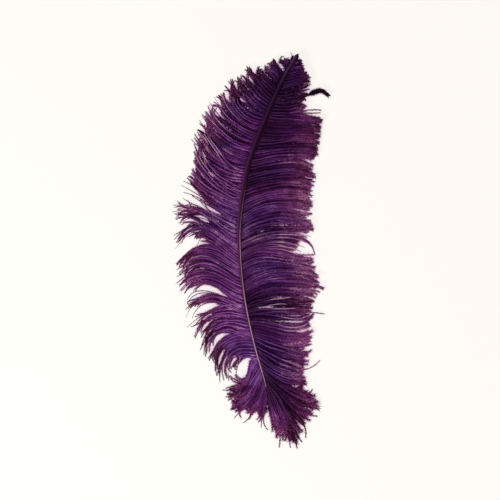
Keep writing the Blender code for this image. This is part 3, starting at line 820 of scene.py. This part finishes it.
RIGHT_UPPER = [
    (111.5, 286, 113, 303, 115, 320.5, 117.5), (130, 282, 131, 302, 130, 320.5, 131),
    (145, 276, 145, 297, 143, 318.5, 146), (160, 271, 157, 295, 155, 315, 158),
    (178, 267, 172, 290, 169, 313, 174),
]
RIGHT_UPPER_LOWER = [
    (178.9, 267, 173, 290, 170, 313, 175), (195, 264, 187, 288, 184, 312, 187),
    (212, 262, 202, 286, 198, 310.5, 202), (228, 261, 216, 285, 212, 312, 216),
    (240, 261, 229, 286, 225, 312, 227), (244.5, 262, 235, 286, 231.5, 309, 234.5),
    (250, 262, 240.5, 284, 238.5, 302, 240.5), (256, 262, 246.5, 278, 245, 295, 248),
    (262, 262, 252.5, 277, 252, 297, 254.5),
]

add_lock("barbs_right_2_upper", RIGHT, RIGHT_UPPER, 22, "_upper", tuft=0.05, sway=1.1, reach=0.98, taper=0.25,
         curl=0.6, ragged=0.03,
         strands=[(112.5, 285, 113, 303, 111.5, 321, 110.5), (113.5, 285, 114.5, 303, 113.5, 320, 112.5)])
add_lock("barbs_right_2_upper", RIGHT, RIGHT_UPPER_LOWER, 28, "_lower", tuft=0.05, sway=1.0, reach=0.99,
         taper=0.32, curl=0.6, ragged=0.04, partings=[(247, 2, 0.8, 1.2)],
         strands=[(251, 285, 238.5, 306, 240.5, 315, 254), (250, 284, 240, 302, 239, 311, 247)],
         bare=[(249, 262, 240, 285, 238, 306, 242), (253, 262, 243.5, 283, 242, 300, 245.5),
               (257, 262, 247.5, 280, 246.5, 296, 250), (246, 262, 237, 286, 234, 310, 237),
               (254, 262, 244, 283, 242, 304, 248), (259, 262, 249.5, 278, 249, 298, 255),
               (256, 262, 246, 280, 244.5, 300, 252)])


# --- Right middle lock ---
# The barbs below the notch. The lower ones have drawn apart a little, and the light surface shows between
# them in thin slits.

RIGHT_MIDDLE = [
    (256, 263, 248.5, 285, 252.5, 314, 257), (272, 263, 263, 288, 264, 312, 269),
    (284, 264, 273, 290, 270, 318, 277), (296, 264, 286, 290, 283, 317, 288),
    (307, 266, 300, 290, 299, 311, 302), (314, 266, 310, 289, 311, 310, 310),
    (325, 267, 326, 289, 330, 311, 323),
]

add_lock("barbs_right_3_middle", RIGHT, RIGHT_MIDDLE, 23, step=0.8, tuft=0.05, sway=0.5, taper=0.32, curl=0.7,
         partings=[(305.5, 3.2, 0.38, 0.58), (312, 4, 0.15, 0.42), (321.5, 1.2, 0.35, 0.85),
                   (310, 4, 0.86, 1.2), (318, 5, 0.86, 1.2)],
         strands=[(318, 268, 313, 296, 311, 324, 314.5)],
         bare=[(312, 264, 308.5, 279, 309, 295, 307), (306, 262, 302, 276, 298.5, 290, 297),
               (322, 268, 320, 288, 327, 309, 322), (325, 270, 326, 290, 331, 310, 326),
               (315, 268, 314.5, 290, 318, 309, 314), (310, 262, 306, 274, 304.5, 286, 304)])


# --- Right lower lock ---
# The last lock of the right vane before the tip. Its barbs slant down more and more and lie in long,
# clear ridges.

RIGHT_LOWER = [
    (320, 267, 321, 289, 326, 311, 326), (330, 267, 334.5, 289, 340, 312, 336),
    (340, 268, 347, 288, 355, 308, 356), (349, 270, 358, 287, 366, 305, 368),
    (357, 271, 368, 287, 376, 303, 377), (364, 273, 377, 290, 385, 306, 384),
]

add_lock("barbs_right_4_lower", RIGHT, RIGHT_LOWER, 24, step=0.7, tuft=0.08, sway=0.5, taper=0.25, curl=0.8,
         partings=[(323.5, 7, 0.8, 1.2), (335, 4.5, 0.86, 1.2)],
         strands=[(350, 270, 358, 294, 369, 319, 360)])


# --- Right tip lock ---
# The tuft right of the shaft's end, and the lowest part of the feather: dense and nearly black inside, with
# short ragged ends along its edge.

RIGHT_TIP = [
    (364.5, 274, 378, 290, 387, 304, 390.5), (367.5, 276, 382, 294, 390, 315.5, 396),
    (371, 277.5, 387, 293.5, 399, 313.5, 407), (375, 278, 392, 291.5, 407, 307, 420),
    (379, 278, 396, 289.5, 412.5, 301, 427), (382, 276, 399, 286, 419, 296.5, 445),
    (385, 273.5, 402, 281, 420, 289.5, 442), (387, 271, 402, 276, 418, 281, 439),
    (389.5, 268, 402, 270.5, 414, 275, 430),
]

add_lock("barbs_right_5_tip", RIGHT, RIGHT_TIP, 25, step=0.36, tuft=0.15, curl=1.1, ragged=0.07, taper=0.25,
         fluff=1.15,
         strands=[(366, 276, 382, 296, 393, 312, 389), (372, 279, 389, 298, 407, 317, 415),
                  (381, 277, 400, 298, 416, 305, 437), (388, 272, 404, 278, 424, 280, 447),
                  (383, 275, 401, 288, 424, 298, 448), (374, 278, 391, 298, 402, 316, 403),
                  (386, 273, 403, 283, 422, 291, 447), (384, 274, 402, 287, 422, 301, 442)])


# --- Stray barb ---
# One barb near the quill end has come away from the row. Its end has kept its barbules close together, so
# it looks like a small brush.

STRAY_PLACES = np.array([(26.0, 136.5, 10.2), (47.5, 138.2, 7.4), (59.0, 143.6, 4.6), (69.2, 139.4, 2.6)])
STRAY_DYE = 0.07
STRAY_BARE = 0.5
STRAY_LOSS = 0.001  # above 0, so none of its barbules is matted

stray_rng = np.random.default_rng(31)
stray_share = np.linspace(0.0, 1.0, BARB_POINTS)[None]
stray_course = through_four([p[None, None] for p in STRAY_PLACES], stray_share)
stray_dye = np.full(stray_share.shape, STRAY_DYE)
stray_calm = np.zeros(stray_share.shape)
stray = grow_barbs("stray_barb_brush", stray_course, stray_share, np.zeros(1), np.full(1, STRAY_LOSS),
                   stray_calm, stray_dye, stray_rng, step=0.06, bare=STRAY_BARE, spread=58.0, taper=0.3)
stray.data.materials.append(BARB_MATERIAL)
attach(stray, "root")
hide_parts("stray_barb")


# --- Studio ---
# A pale warm surface, one broad soft light low at the tip's left, a bright room, and a camera overhead. The
# surface just below the dyed fibres has a painted pink shadow, in place of the light that comes through them.

PHOTO_SIZE = 500  # pixels on a side
VIEW_CENTRE = (-1.35 * MM, 0.9 * MM)
CAMERA_HEIGHT = 1.6  # m
FLOOR_SIZE = 40.0  # m
PAINTED_SHADOW_REACH = 14 * MM  # how far from the fibres the painted pink shadow reaches
WALL_TOP = (0.14, 0.30)  # sines of the angles above the horizon where the walls turn into the ceiling
WALL_LIGHT = 0.967
CEILING_LIGHT = 0.30

bpy.ops.mesh.primitive_plane_add(size=FLOOR_SIZE)
floor = bpy.context.object
floor.name = "pale_floor"
floor_material, floor_tree, floor_surface = surface_material(
    "pale_paper", Base_Color=linear("#6A6560"), Roughness=1.0, Emission_Strength=0.875)
# Painted pink shadow: the surface's glow turns pink where the fibres cover it.
open_sky = add_node(floor_tree, "AmbientOcclusion", "AO", {"samples": 8}, Distance=PAINTED_SHADOW_REACH)
painted_pink_shadow = add_node(floor_tree, "ValToRGB", "Color", links={"Fac": open_sky},
                stops=[(0.05, "#BC84B8"), (0.3, "#EACAE0"), (0.62, "#FFFCF9")])
floor_tree.links.new(painted_pink_shadow, floor_surface.inputs["Emission Color"])
floor.data.materials.append(floor_material)

world = bpy.data.worlds.new("studio_room")
world.use_nodes = True
sky = world.node_tree
aim = add_node(sky, "TexCoord", "Generated")
height = add_node(sky, "SeparateXYZ", "Z", links={"Vector": aim})
level = add_node(sky, "MapRange", "Result", links={"Value": height}, From_Min=WALL_TOP[0],
                 From_Max=WALL_TOP[1], To_Min=WALL_LIGHT, To_Max=CEILING_LIGHT)
sky.nodes["Background"].inputs["Color"].default_value = linear("#FFFBF7")
sky.links.new(level, sky.nodes["Background"].inputs["Strength"])
bpy.context.scene.world = world

key = bpy.data.lights.new("key", "AREA")
key.energy = 27.0
key.size = 0.5
key.color = linear("#FFF8F2")[:3]
key_object = bpy.data.objects.new("key", key)
key_object.location = (-1.0, -0.85, 0.8)
key_object.rotation_mode = "QUATERNION"
key_object.rotation_quaternion = (-key_object.location).to_track_quat("-Z", "Y")
bpy.context.scene.collection.objects.link(key_object)

camera = bpy.data.cameras.new("overhead")
camera.sensor_width = 36.0
camera.lens = camera.sensor_width * CAMERA_HEIGHT / (PHOTO_SIZE * PIXEL * MM)
camera.clip_end = 100.0
camera_object = bpy.data.objects.new("overhead", camera)
camera_object.location = (*VIEW_CENTRE, CAMERA_HEIGHT)
bpy.context.scene.collection.objects.link(camera_object)
bpy.context.scene.camera = camera_object
bpy.context.scene.view_settings.view_transform = "Standard"
